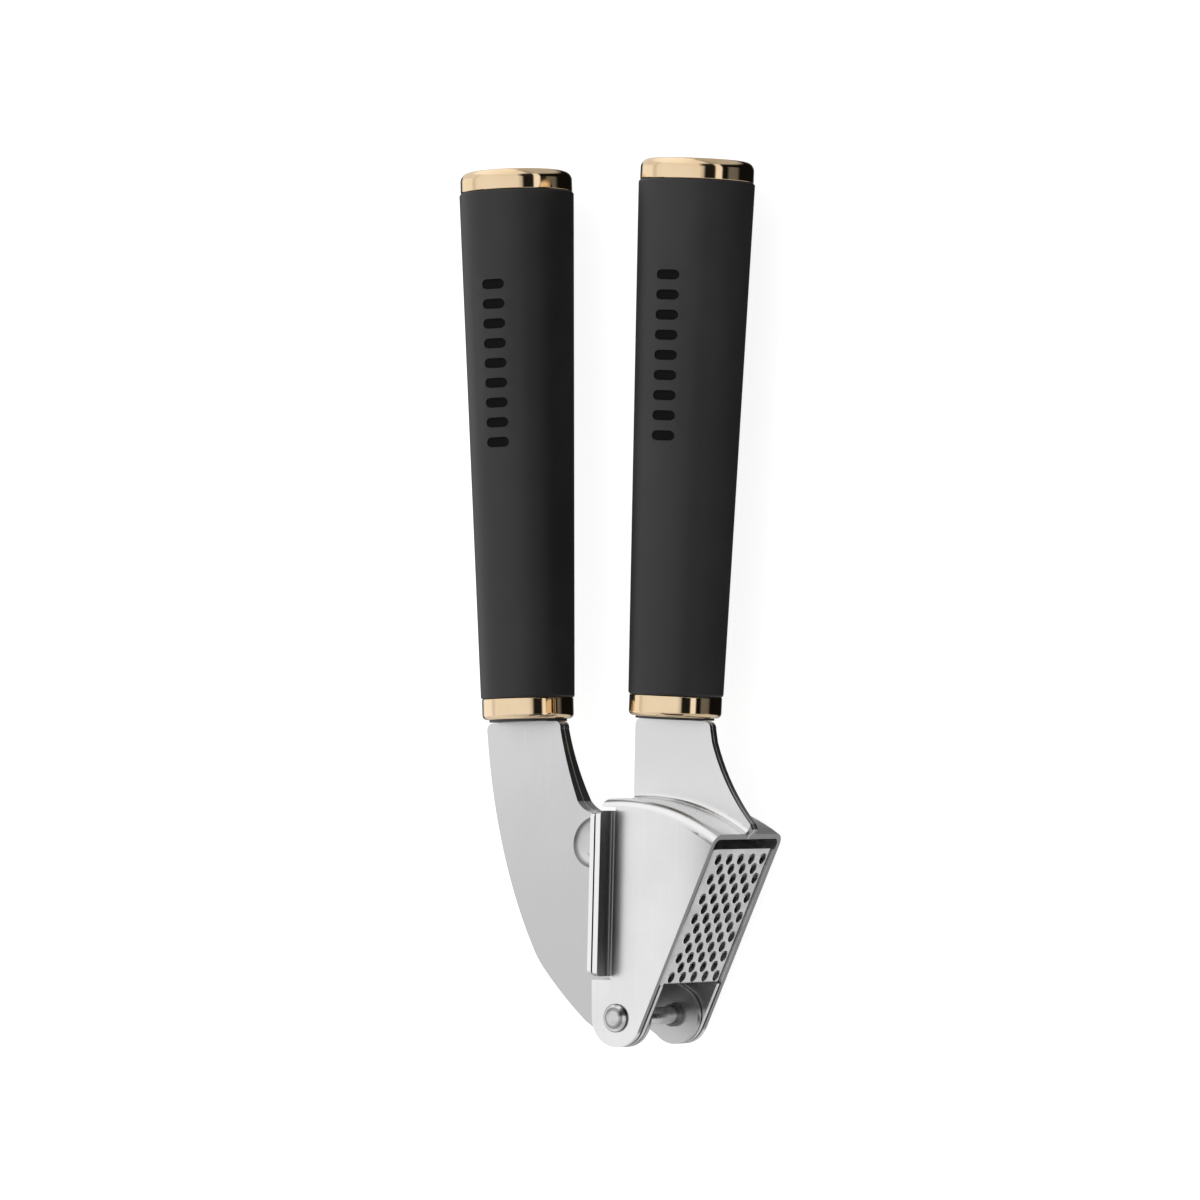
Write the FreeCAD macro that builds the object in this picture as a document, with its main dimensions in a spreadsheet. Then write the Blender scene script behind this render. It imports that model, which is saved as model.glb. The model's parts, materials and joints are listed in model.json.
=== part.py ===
"""Garlic press: two stamped levers on one pin, a swing-out strainer basket and a hanging plunger.

The press lies on its side, with the pivot pin along Z.  Every pressed part is drawn in the plane
across the pin, with the pivot at the sketch origin and the handles along +Y; each handle part is
turned about its own axis, which starts at the handle's collar.
"""
import FreeCAD, Part
import math
import os
import Sketcher
from FreeCAD import Placement, Rotation, Vector

SIZES = {
    # place of the pivot pin in the part's frame
    "pivot_x": 10.258,
    "pivot_y": -89.187,
    "pivot_z": 17.75,
    # housing of the fixed lever
    "gauge": 1.2,
    "housing_half": 13.25,
    "housing_end": 6.3,
    "housing_top": 47.0,
    "housing_left": 93.9,
    "mouth_overhang": 1.8,
    "corner_outside": 2.6,
    "corner_inside": 1.4,
    "front_lean": 25.5,
    "mouth_lean": 1.78,
    # tabs beside the mouth
    "tab_offset": 3.38,
    "tab_low": 8.9,
    "tab_high": 44.3,
    "tab_reach": 17.75,
    "tab_bend": 2.0,
    "tab_corner": 1.1,
    "tab_relief": 0.8,
    # strainer basket
    "basket_gauge": 1.0,
    "basket_half": 11.45,
    "basket_low": 12.1,
    "basket_low_bend": 0.8,
    "basket_high": 43.5,
    "basket_bend": 1.5,
    "lip_gap": 0.38,
    "lip_bend": 1.7,
    "lip_start": 0.3,
    "lip_short": 0.4,
    "lip_relief": 1.4,
    "lip_clear": 0.2,
    "hole_radius": 1.12,
    "hole_pitch": 4.32,
    "row_pitch": 2.333,
    "row_first": 12.55,
    "row_count": 13,
    # press lever
    "lever_half": 10.15,
    "lever_end": 6.3,
    "neck_half": 1.7,
    "neck_reach": 64.0,
    "sweep_radius": 164.0,
    "shoulder_bend": 12.0,
    "back_radius": 92.7,
    "back_x": 50.5,
    "back_y": 69.3,
    "dimple_x": -11.9,
    "dimple_y": 37.5,
    "dimple_radius": 5.55,
    "dimple_depth": 1.8,
    "boss_floor": 1.3,
    "stub_radius": 2.0,
    "stub_end": 0.1,
    # plunger
    "close_angle": 6.5,
    "foot_gap": 0.9,
    "foot_gauge": 4.0,
    "foot_half": 10.0,
    "foot_low": 14.4,
    "foot_high": 41.5,
    "foot_edge": 0.8,
    "hanger_gauge": 2.0,
    "lug_radius": 3.8,
    # pivot pin
    "pin_radius": 1.9,
    "head_radius": 3.05,
    "head_rise": 1.55,
    "running_gap": 0.05,
    "bush_radius": 2.5,
    "bush_length": 1.0,
    # handles
    "fixed_x": 6.47,
    "fixed_y": 64.5,
    "fixed_lean": 2.98,
    "press_x": -32.1,
    "press_y": 64.1,
    "press_lean": -1.44,
    "tang_half": 6.0,
    "tang_length": 45.0,
    "collar_radius": 10.0,
    "collar_length": 4.6,
    "collar_round": 1.1,
    "grip_low": 10.25,
    "grip_high": 12.55,
    "grip_length": 110.6,
    "grip_bore": 8.5,
    "cap_radius": 12.25,
    "cap_length": 4.6,
    "cap_round": 2.0,
    "cap_wall": 1.0,
    "plug_length": 11.0,
    "core_gap": 0.5,
    "core_lip": 0.5,
    # row of debossed bars on each grip
    "mark_first": 60.2,
    "mark_pitch": 4.3,
    "mark_count": 9,
    "mark_width": 5.4,
    "mark_height": 2.2,
    "mark_depth": 0.5,
    "mark_turn": 7.0,
}

doc = FreeCAD.newDocument("garlic_press")
sheet = doc.addObject("Spreadsheet::Sheet", "sheet")
for row, (alias, value) in enumerate(SIZES.items(), 1):
    sheet.set("A%d" % row, alias)
    sheet.set("B%d" % row, str(value))
    sheet.setAlias("B%d" % row, alias)
doc.recompute()


def size(alias):
    """The value of one sheet cell."""
    return float(sheet.get(alias))


# ---------------------------------------------------------------- points in the lever plane

def polar(radius, degrees):
    """Point at a radius and an angle from +X about the pivot."""
    angle = math.radians(degrees)
    return (radius * math.cos(angle), radius * math.sin(angle))


def beside(offset, along, lean):
    """Point on a line that leans right of +Y, at an offset to the left of the pivot."""
    angle = math.radians(lean)
    x = along * math.sin(angle) - offset * math.cos(angle)
    y = along * math.cos(angle) + offset * math.sin(angle)
    return (x, y)


def crossing(offset, radius, lean):
    """Point where such a line leaves a circle about the pivot."""
    return beside(offset, math.sqrt(radius ** 2 - offset ** 2), lean)


def middle(start, end, radius):
    """Point halfway along the arc about the pivot from start to end."""
    x = start[0] + end[0]
    y = start[1] + end[1]
    length = math.hypot(x, y)
    return (x * radius / length, y * radius / length)


def on_axis(side, across, along):
    """Point beside a handle's axis: across to the right of it, along it from the collar's foot."""
    angle = math.radians(size(side + "_lean"))
    x = size(side + "_x") + along * math.sin(angle) + across * math.cos(angle)
    y = size(side + "_y") + along * math.cos(angle) - across * math.sin(angle)
    return (x, y)


# ---------------------------------------------------------------- bodies, sketches and features

def new_body(name):
    """A body whose origin is the pivot."""
    body = doc.addObject("PartDesign::Body", name)
    body.Label = name
    for axis in "xyz":
        body.setExpression("Placement.Base." + axis, "sheet.pivot_" + axis)
    return body


def sketch_on(body, role, name, lift=None, turn=None):
    """A sketch on one of the body's origin planes, lifted along the normal by an expression."""
    sketch = body.newObject("Sketcher::SketchObject", name)
    plane = [feature for feature in body.Origin.OriginFeatures if feature.Role == role][0]
    sketch.AttachmentSupport = [(plane, "")]
    sketch.MapMode = "FlatFace"
    if turn is not None:
        sketch.AttachmentOffset = Placement(Vector(0, 0, 0), turn)
    if lift is not None:
        sketch.setExpression("AttachmentOffset.Base.z", lift)
    return sketch


def outline(sketch, start, steps):
    """A closed outline: (x, y) is a straight step, (x, y, via x, via y) is an arc."""
    here = Vector(start[0], start[1], 0)
    curves = []
    for step in list(steps) + [start]:
        there = Vector(step[0], step[1], 0)
        if here.distanceToPoint(there) < 1e-6:
            continue
        if len(step) == 4:
            curves.append(Part.Arc(here, Vector(step[2], step[3], 0), there))
        else:
            curves.append(Part.LineSegment(here, there))
        here = there
    sketch.addGeometry(curves, False)
    sketch.detectMissingPointOnPointConstraints(1e-6, False)
    sketch.makeMissingPointOnPointCoincident()


def circle(sketch, centre, radius):
    """A circle about a point, its radius bound to an expression."""
    value = float(sheet.evalExpression(radius))
    spot = Vector(centre[0], centre[1], 0)
    index = sketch.addGeometry(Part.Circle(spot, Vector(0, 0, 1), value), False)
    number = sketch.addConstraint(Sketcher.Constraint("Radius", index, value))
    sketch.setExpression("Constraints[%d]" % number, radius)
    if math.hypot(*centre) < 1e-9:
        sketch.addConstraint(Sketcher.Constraint("Coincident", index, 3, -1, 1))


def pad(body, sketch, length, side=1, both=False):
    """Material from the sketch towards side, or half to each side of it."""
    feature = body.newObject("PartDesign::Pad", sketch.Name + "_pad")
    feature.Profile = sketch
    feature.setExpression("Length", length)
    feature.Midplane = both
    feature.Reversed = side < 0
    sketch.Visibility = False
    doc.recompute()
    return feature


def pocket(body, sketch, length, side=1, both=False):
    """A cut from the sketch towards side, or half to each side of it."""
    before = body.Shape.Volume
    feature = body.newObject("PartDesign::Pocket", sketch.Name + "_cut")
    feature.Profile = sketch
    feature.setExpression("Length", length)
    feature.Midplane = both
    feature.Reversed = side > 0
    doc.recompute()
    if body.Shape.Volume > before - 1e-3:
        raise ValueError("%s cuts nothing" % feature.Name)
    return feature


def revolve(body, sketch):
    """Material turned about the body's own Z axis."""
    feature = body.newObject("PartDesign::Revolution", sketch.Name + "_turn")
    feature.Profile = sketch
    feature.ReferenceAxis = (sketch, ["V_Axis"])
    feature.Angle = 360
    doc.recompute()
    return feature


def fillet(body, name, radius, test):
    """A rounding of every edge whose middle point and length pass the test."""
    base = body.Tip
    names = []
    for number, edge in enumerate(base.Shape.Edges, 1):
        spot = edge.valueAt((edge.FirstParameter + edge.LastParameter) / 2)
        if test(spot, edge.Length):
            names.append("Edge%d" % number)
    if not names:
        raise ValueError("no edge for %s" % name)
    feature = body.newObject("PartDesign::Fillet", name)
    feature.Base = (base, names)
    feature.setExpression("Radius", radius)
    doc.recompute()
    if "Invalid" in feature.State or not feature.Shape.isValid():
        raise ValueError("%s failed on %s" % (name, names))
    return feature


def eased(x, y, radius, side):
    """Middle of the arc that rounds a corner of a profile, below and inside the corner."""
    inset = radius * (1 - math.sqrt(0.5))
    return (x - inset, y - side * inset)


def near(value, target, slack=0.05):
    """True when a coordinate lies at its target."""
    return abs(value - target) < slack


def pin_hole(body, radius):
    """The pivot pin's hole, right through the body."""
    sketch = sketch_on(body, "XY_Plane", body.Name + "_bore")
    circle(sketch, (0, 0), radius)
    pocket(body, sketch, "4 * sheet.housing_half", both=True)


# ---------------------------------------------------------------- fixed lever

def housing_shell(name, side):
    """Half of the fixed lever: cheek, arched top wall, mouth tab, shank and tang."""
    body = new_body(name)
    end = size("housing_end")
    top = size("housing_top")
    lean = size("front_lean")
    mouth = size("mouth_lean")
    low_right = beside(-end, 0, lean)
    high_left = polar(top, size("housing_left"))
    tab_inner = size("tab_offset")
    relief = size("tab_relief")
    bend = size("tab_bend")
    root = tab_inner - bend
    half = side * size("housing_half")
    gauge = size("gauge")
    outside = size("corner_outside")
    inside = size("corner_inside")
    bowl = sketch_on(body, "XZ_Plane", name + "_bowl")
    outline(bowl, (0, half), [
        (top - outside, half),
        (top, half - side * outside) + eased(top, half, outside, side),
        (top, 0),
        (top - gauge, 0),
        (top - gauge, half - side * (gauge + inside)),
        (top - gauge - inside, half - side * gauge) + eased(top - gauge, half - side * gauge, inside, side),
        (0, half - side * gauge),
    ])
    revolve(body, bowl)

    trim = sketch_on(body, "XY_Plane", name + "_trim")
    circle(trim, (0, 0), "1.5 * sheet.housing_top")
    beyond = top + 1
    outline(trim, low_right, [
        crossing(-end, beyond, lean),
        polar(beyond, size("housing_left")) + polar(beyond, 80),
        high_left,
        beside(tab_inner + size("mouth_overhang"), size("tab_high") + relief, mouth),
        beside(root, size("tab_high") + relief, mouth),
        beside(root, size("tab_low") - relief, mouth),
        (-end, size("tab_low") - relief),
        (-end, 0),
        low_right + polar(end, 270),
    ])
    pocket(body, trim, "4 * sheet.housing_half", both=True)

    bent_strip(body, name + "_tab", side, tab_inner, (half - side * gauge, gauge, bend),
               (size("tab_low"), mouth, "sheet.tab_high - sheet.tab_low"))
    fillet(body, name + "_tab_corner", "sheet.tab_corner",
           lambda spot, length: near(spot.z, side * size("tab_reach")) and length < 2)

    inner_right = crossing(-end, top - size("gauge") / 2, lean)
    inner_left = polar(top - size("gauge") / 2, size("housing_left"))
    shank = sketch_on(body, "XY_Plane", name + "_shank")
    outline(shank, inner_left, [
        (-3.4, 47.8),
        on_axis("fixed", -9.4, -2.2),
        on_axis("fixed", -7.8, -0.6) + on_axis("fixed", -8.95, -1.05),
        on_axis("fixed", -size("tang_half"), -0.6),
        on_axis("fixed", -size("tang_half"), size("tang_length")),
        on_axis("fixed", size("tang_half"), size("tang_length")),
        on_axis("fixed", size("tang_half"), -0.6),
        on_axis("fixed", 8.4, -0.6),
        on_axis("fixed", 10.0, -2.2) + on_axis("fixed", 9.55, -1.05),
        (16.8, 58.9),
        (26.5, 41.5, 20.4, 50.2),
        (27.0, 40.3),
        inner_right,
        inner_left + middle(inner_right, inner_left, top - size("gauge") / 2),
    ])
    pad(body, shank, "sheet.gauge", side)
    fillet(body, name + "_shank_root", "sheet.corner_inside",
           lambda spot, length: near(spot.z, side * size("gauge"))
           and near(math.hypot(spot.x, spot.y), top) and length > 10)
    pin_hole(body, "sheet.pin_radius + 0.4 * sheet.running_gap")
    return body


# ---------------------------------------------------------------- strainer basket

def strainer_basket():
    """Basket drawn with its perforated front square to X, then leant into the housing."""
    body = new_body("strainer_basket")
    body.setExpression("Placement.Rotation.Axis.z", "1")
    body.setExpression("Placement.Rotation.Angle", "-sheet.front_lean")
    end = size("housing_end")
    low = size("basket_low")
    high = size("basket_high")
    wall = size("basket_gauge")
    mouth = size("mouth_lean") - size("front_lean")
    lip_right = size("tab_offset") + size("lip_gap")
    lip_left = lip_right + wall

    half = size("basket_half")
    bend = size("basket_bend")
    lip_bend = size("lip_bend")
    drum = sketch_on(body, "XZ_Plane", "basket_drum")
    outline(drum, (0, half), [
        (high - bend, half),
        (high, half - bend) + eased(high, half, bend, 1),
        (high, bend - half),
        (high - bend, -half) + eased(high, -half, bend, -1),
        (0, -half),
    ])
    revolve(body, drum)

    trim = sketch_on(body, "XY_Plane", "basket_trim")
    circle(trim, (0, 0), "1.5 * sheet.basket_high")
    beyond = high + 1
    ear_left = beside(end, 0, mouth)
    far = crossing(lip_left - lip_bend, beyond, mouth)
    outline(trim, (end, 0), [
        (end, beyond),
        far + middle((end, beyond), far, beyond + 0.3),
        beside(lip_left - lip_bend, size("tab_low") - 0.5, mouth),
        ear_left,
        (end, 0) + beside(0, -end, mouth),
    ])
    pocket(body, trim, "4 * sheet.basket_half", both=True)
    corners = sketch_on(body, "XZ_Plane", "basket_corners", "-sheet.basket_low + 1.5")
    for side in (1, -1):
        outline(corners, (end - bend, side * half), [
            (end, side * (half - bend)) + eased(end, side * half, bend, side),
            (end + 1, side * (half - bend)),
            (end + 1, side * (half + 1)),
            (end - bend, side * (half + 1)),
        ])
    pocket(body, corners, "2 * sheet.basket_high", side=-1)

    inner_low = low + wall
    inner_high = high - wall
    flat = end - wall
    room_far = crossing(lip_left + 4, inner_high, mouth)
    room_near = crossing(lip_left + 4, inner_low, mouth)
    front_high = (flat, math.sqrt(inner_high ** 2 - flat ** 2))
    front_low = (flat, math.sqrt(inner_low ** 2 - flat ** 2))
    room = sketch_on(body, "XY_Plane", "basket_room")
    outline(room, front_low, [
        front_high,
        room_far + middle(front_high, room_far, inner_high),
        room_near,
        front_low + middle(room_near, front_low, inner_low),
    ])
    pocket(body, room, "2 * (sheet.basket_half - sheet.basket_gauge)", both=True)

    low_bend = size("basket_low_bend")
    turn = (end - low_bend, math.sqrt((low + low_bend) ** 2 - (end - low_bend) ** 2))
    leave = (turn[0] * low / (low + low_bend), turn[1] * low / (low + low_bend))
    half_turn = math.atan2(turn[1], turn[0]) / 2
    below = sketch_on(body, "XY_Plane", "basket_below")
    outline(below, (end, turn[1]), [
        leave + (turn[0] + low_bend * math.cos(half_turn), turn[1] - low_bend * math.sin(half_turn)),
        polar(low, 165) + polar(low, 110),
        (-2 * low, -low),
        (2 * low, -low),
        (2 * low, turn[1]),
    ])
    pocket(body, below, "2 * (sheet.basket_half - sheet.basket_gauge)", both=True)
    for side, word in ((1, "front"), (-1, "rear")):
        bent_strip(body, "lip_" + word, side, lip_left, (side * (half - wall), wall, lip_bend),
                   (size("tab_low") + size("lip_start"), mouth,
                    "sheet.tab_high - sheet.tab_low - sheet.lip_start - sheet.lip_short"))
    fillet(body, "lip_corner", "sheet.tab_corner",
           lambda spot, length: near(abs(spot.z), size("tab_reach")) and length < 2)

    relief = sketch_on(body, "XY_Plane", "lip_relief")
    under = size("tab_low") - size("lip_start")
    above = size("tab_low") + size("lip_relief")
    outline(relief, beside(lip_left + wall, under, mouth), [
        beside(lip_left + wall, above, mouth),
        beside(lip_left - lip_bend, above, mouth),
        beside(lip_left - lip_bend, under, mouth),
    ])
    pocket(body, relief, "2 * (sheet.housing_half + sheet.lip_clear)", both=True)

    holes = sketch_on(body, "YZ_Plane", "basket_holes", "sheet.housing_end + 1")
    for row in range(int(size("row_count"))):
        count = 5 - row % 2
        along = size("row_first") + row * size("row_pitch")
        for place in range(count):
            across = (place - (count - 1) / 2) * size("hole_pitch")
            circle(holes, (along, across), "sheet.hole_radius")
    pocket(body, holes, "sheet.basket_gauge + 2", side=-1)
    pin_hole(body, "sheet.pin_radius + sheet.running_gap")
    return body


# ---------------------------------------------------------------- press lever

def face_cut(body, name, side, inset):
    """Cuts a lever volume down to the swept face, or to a face lying inset below it."""
    half = size("lever_half")
    neck = size("neck_half")
    reach = size("neck_reach")
    sweep = size("sweep_radius")
    bend = size("shoulder_bend")
    rise = sweep + neck
    bend_floor = half - bend
    bend_y = reach - math.sqrt((sweep + bend) ** 2 - (rise - bend_floor) ** 2)
    share = (bend - inset) / (sweep + bend)
    meet = (bend_y + share * (reach - bend_y), bend_floor + share * (rise - bend_floor))
    crest = math.atan2(meet[0] - bend_y, meet[1] - bend_floor) / 2
    over = (bend_y + (bend - inset) * math.sin(crest), bend_floor + (bend - inset) * math.cos(crest))
    swing = math.atan2(reach - meet[0], rise - meet[1]) / 2
    under = (reach - (sweep + inset) * math.sin(swing), rise - (sweep + inset) * math.cos(swing))
    top = half - inset
    beyond = reach + size("tang_length") + 10
    sketch = sketch_on(body, "YZ_Plane", name)
    corners = [
        meet + over,
        (reach, neck - inset) + under,
        (beyond, neck - inset),
        (beyond, top + 3),
        (bend_y, top + 3),
    ]
    flipped = []
    for corner in corners:
        if len(corner) == 4:
            flipped.append((corner[0], side * corner[1], corner[2], side * corner[3]))
        else:
            flipped.append((corner[0], side * corner[1]))
    outline(sketch, (bend_y, side * top), flipped)
    pocket(body, sketch, "4 * sheet.neck_reach", both=True)


def back_point(radius, height):
    """Point on the lever's curved back, or on an arc about the same centre."""
    drop = height - size("back_y")
    return (size("back_x") - math.sqrt(radius ** 2 - drop ** 2), height)


def lever_shell(name, side):
    """Half of the press lever: swept plate with a rim round its back and along its throat."""
    body = new_body(name)
    end = size("lever_end")
    back = size("back_radius")
    tang = size("tang_half")
    plate = sketch_on(body, "XY_Plane", name + "_plate")
    outline(plate, (-9.2, 42.2), [
        (-13.8, 43.9),
        (-17.2, 46.3, -15.8, 44.9),
        (-22.4, 62.0, -19.7, 52.4),
        on_axis("press", 8.0, -0.6) + on_axis("press", 9.3, -1.05),
        on_axis("press", tang, -0.6),
        on_axis("press", tang, size("tang_length")),
        on_axis("press", -tang, size("tang_length")),
        on_axis("press", -tang, -0.6),
        on_axis("press", -8.2, -0.6),
        back_point(back, 61.8) + on_axis("press", -9.45, -1.1),
        back_point(back, -0.9) + back_point(back, 25.0),
        polar(end, 225),
        polar(end, 60) + polar(end, 320),
        (-5.77, 10.6),
        (-6.6, 12.9),
        (-4.0, 15.6),
        (-4.0, 40.0),
        (-5.5, 41.4),
    ])
    pad(body, plate, "sheet.lever_half", side)
    face_cut(body, name + "_face", side, 0)

    hollow = doc.addObject("PartDesign::Body", name + "_hollow")
    room = sketch_on(hollow, "XY_Plane", name + "_room")
    inner = back - size("gauge")
    shift = (-1.1, -0.7)
    outline(room, (-14.9, 43.2), [
        (-17.2 + shift[0], 46.3 + shift[1], -15.8 + shift[0], 44.9 + shift[1]),
        (-22.4 + shift[0], 62.0 + shift[1], -19.7 + shift[0], 52.4 + shift[1]),
        back_point(inner, 61.0),
        back_point(inner, 1.2) + back_point(inner, 25.0),
        (-12.6, -12.0),
        (12.0, -12.0),
        (12.0, 41.2),
        (-9.2, 41.2),
    ])
    pad(hollow, room, "sheet.lever_half - sheet.gauge", side)
    face_cut(hollow, name + "_ceiling", side, size("gauge"))
    cut = body.newObject("PartDesign::Boolean", name + "_shell")
    cut.Type = "Cut"
    cut.addObject(hollow)
    doc.recompute()

    spot = (size("dimple_x"), size("dimple_y"))
    boss = sketch_on(body, "XY_Plane", name + "_boss", "%d * sheet.boss_floor" % side)
    circle(boss, spot, "sheet.dimple_radius + 0.5")
    pad(body, boss, "sheet.neck_half", side)
    stub = sketch_on(body, "XY_Plane", name + "_stub", "%d * sheet.stub_end" % side)
    circle(stub, spot, "sheet.stub_radius")
    pad(body, stub, "sheet.boss_floor", side)
    dish(body, name, side, spot)
    pin_hole(body, "sheet.pin_radius + sheet.running_gap")
    return body


def bent_strip(body, name, side, offset, sheet_metal, run):
    """A strip bent outward from a wall along a leaning line: (wall, gauge, bend), (low, lean, length)."""
    wall, gauge, bend = sheet_metal
    low, lean, length = run
    start = beside(0, low, lean)
    sketch = sketch_on(body, "XZ_Plane", name)
    sketch.AttachmentOffset = Placement(Vector(start[0], 0, -start[1]), Rotation(Vector(0, 1, 0), -lean))
    middle_z = wall + side * bend
    reach = side * size("tab_reach")
    slope = math.sqrt(0.5)
    inner_bend = bend - gauge
    outline(sketch, (bend - offset, wall), [
        (-offset, middle_z, bend - offset - bend * slope, middle_z - side * bend * slope),
        (-offset, reach),
        (gauge - offset, reach),
        (gauge - offset, middle_z),
        (bend - offset, wall + side * gauge,
         bend - offset - inner_bend * slope, middle_z - side * inner_bend * slope),
        (bend - offset + 0.2, wall + side * gauge),
        (bend - offset + 0.2, wall),
    ])
    pad(body, sketch, length, side=-1)


def dish(body, name, side, spot):
    """The round dimple pressed into the outside of the lever plate."""
    wide = size("dimple_radius")
    depth = size("dimple_depth")
    reach = size("neck_reach") - spot[1]
    sweep = size("sweep_radius")
    level = sweep + size("neck_half") - math.sqrt(sweep ** 2 - reach ** 2)
    radius = (wide ** 2 + depth ** 2) / (2 * depth)
    ball = body.newObject("PartDesign::SubtractiveSphere", name + "_dish")
    ball.Radius = radius
    lean = math.asin(reach / sweep)
    rise = radius - depth
    centre = Vector(spot[0], spot[1] + rise * math.sin(lean), side * (level + rise * math.cos(lean)))
    ball.Placement = Placement(centre, Rotation())
    doc.recompute()


# ---------------------------------------------------------------- plunger

def plunger_foot():
    """Block that sweeps the basket, its face parallel to the holes when the press is shut."""
    body = new_body("plunger_foot")
    lean = size("front_lean") - size("close_angle")
    face = size("housing_end") - size("basket_gauge") - size("foot_gap")
    back = face - size("foot_gauge")
    low = size("foot_low")
    high = size("foot_high")
    sketch = sketch_on(body, "XY_Plane", "foot_side")
    face_low = crossing(-face, low, lean)
    face_high = crossing(-face, high, lean)
    back_high = crossing(-back, high, lean)
    back_low = crossing(-back, low, lean)
    outline(sketch, face_low, [
        face_high,
        back_high + middle(face_high, back_high, high),
        back_low,
        face_low + middle(back_low, face_low, low),
    ])
    pad(body, sketch, "2 * sheet.foot_half", both=True)
    fillet(body, "foot_edges", "sheet.foot_edge",
           lambda spot, length: length > 15 and (near(abs(spot.z), size("foot_half"))
                                                 or near(spot.z, 0)))
    return body


def plunger_hanger():
    """Plate that hangs from the lever's two stubs and carries the foot."""
    body = new_body("plunger_hanger")
    lean = size("front_lean") - size("close_angle")
    back = size("housing_end") - size("basket_gauge") - size("foot_gap") - size("foot_gauge")
    spot = (size("dimple_x"), size("dimple_y"))
    lug = size("lug_radius")
    high_turn = polar(lug, 75)
    low_turn = polar(lug, 232)
    left_turn = polar(lug, 155)
    sketch = sketch_on(body, "XY_Plane", "hanger_side")
    outline(sketch, (spot[0] + high_turn[0], spot[1] + high_turn[1]), [
        (spot[0] + low_turn[0], spot[1] + low_turn[1], spot[0] + left_turn[0], spot[1] + left_turn[1]),
        beside(-back, 20, lean),
        beside(-back, 36, lean),
    ])
    pad(body, sketch, "sheet.hanger_gauge", both=True)
    bore = sketch_on(body, "XY_Plane", "hanger_bore")
    circle(bore, spot, "sheet.stub_radius + sheet.running_gap")
    pocket(body, bore, "2 * sheet.hanger_gauge", both=True)
    return body


# ---------------------------------------------------------------- pivot pin

def dome(start, side):
    """Steps of a half profile from the pin's axis over a domed head down to its rim."""
    wide = size("head_radius")
    rise = size("head_rise")
    rim = 0.35
    radius = (wide ** 2 + (rise - rim) ** 2) / (2 * (rise - rim))
    half_angle = math.asin(wide / radius) / 2
    via = (radius * math.sin(half_angle), start + side * (rise - radius + radius * math.cos(half_angle)))
    return [(wide, start + side * rim) + via, (wide, start)]


def pivot_pin():
    """Pin with its domed front head."""
    body = new_body("pivot_pin")
    half = size("housing_half")
    radius = size("pin_radius")
    sketch = sketch_on(body, "XZ_Plane", "pin_profile")
    outline(sketch, (0, half + size("head_rise")),
            dome(half, 1) + [(radius, half), (radius, -half), (0, -half)])
    revolve(body, sketch)
    return body


def pivot_rivet_head():
    """Domed rear head that closes the pin."""
    body = new_body("pivot_rivet_head")
    half = size("housing_half")
    sketch = sketch_on(body, "XZ_Plane", "head_profile")
    outline(sketch, (0, -half - size("head_rise")), dome(-half, -1) + [(0, -half)])
    revolve(body, sketch)
    return body


def lever_bush(name, side):
    """Collar inside the lever plate, round the pin."""
    body = new_body(name)
    sketch = sketch_on(body, "XY_Plane", name + "_ring",
                       "%d * (sheet.lever_half - sheet.gauge)" % side)
    circle(sketch, (0, 0), "sheet.bush_radius")
    circle(sketch, (0, 0), "sheet.pin_radius + sheet.running_gap")
    pad(body, sketch, "sheet.bush_length", -side)
    return body


# ---------------------------------------------------------------- handles

def handle_body(name, side):
    """A body turned about a handle's axis, with Y towards the front of the press."""
    body = doc.addObject("PartDesign::Body", name)
    body.Label = name
    upright = Rotation(Vector(0, 1, 1), 180)
    lean = Rotation(Vector(0, 0, 1), -size(side + "_lean"))
    body.Placement = Placement(Vector(0, 0, 0), lean.multiply(upright))
    body.setExpression("Placement.Base.x", "sheet.pivot_x + sheet.%s_x" % side)
    body.setExpression("Placement.Base.y", "sheet.pivot_y + sheet.%s_y" % side)
    body.setExpression("Placement.Base.z", "sheet.pivot_z")
    return body


def turned(side, part, start, steps):
    """A handle part turned from half a profile of radius and height."""
    name = side + "_" + part
    body = handle_body(name, side)
    sketch = sketch_on(body, "XZ_Plane", name + "_profile")
    outline(sketch, start, steps)
    revolve(body, sketch)
    return body


def collar(side):
    """Gold collar at the foot of the grip."""
    bore = size("grip_bore")
    wide = size("collar_radius")
    top = size("collar_length")
    body = turned(side, "collar", (bore, 0), [(wide, 0), (wide, top), (bore, top)])
    fillet(body, side + "_collar_round", "sheet.collar_round",
           lambda spot, length: near(spot.z, 0) and near(math.hypot(spot.x, spot.y), wide, 0.2))
    fillet(body, side + "_collar_edge", "sheet.collar_round / 4",
           lambda spot, length: near(spot.z, top) and near(math.hypot(spot.x, spot.y), wide, 0.2))
    return body


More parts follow.
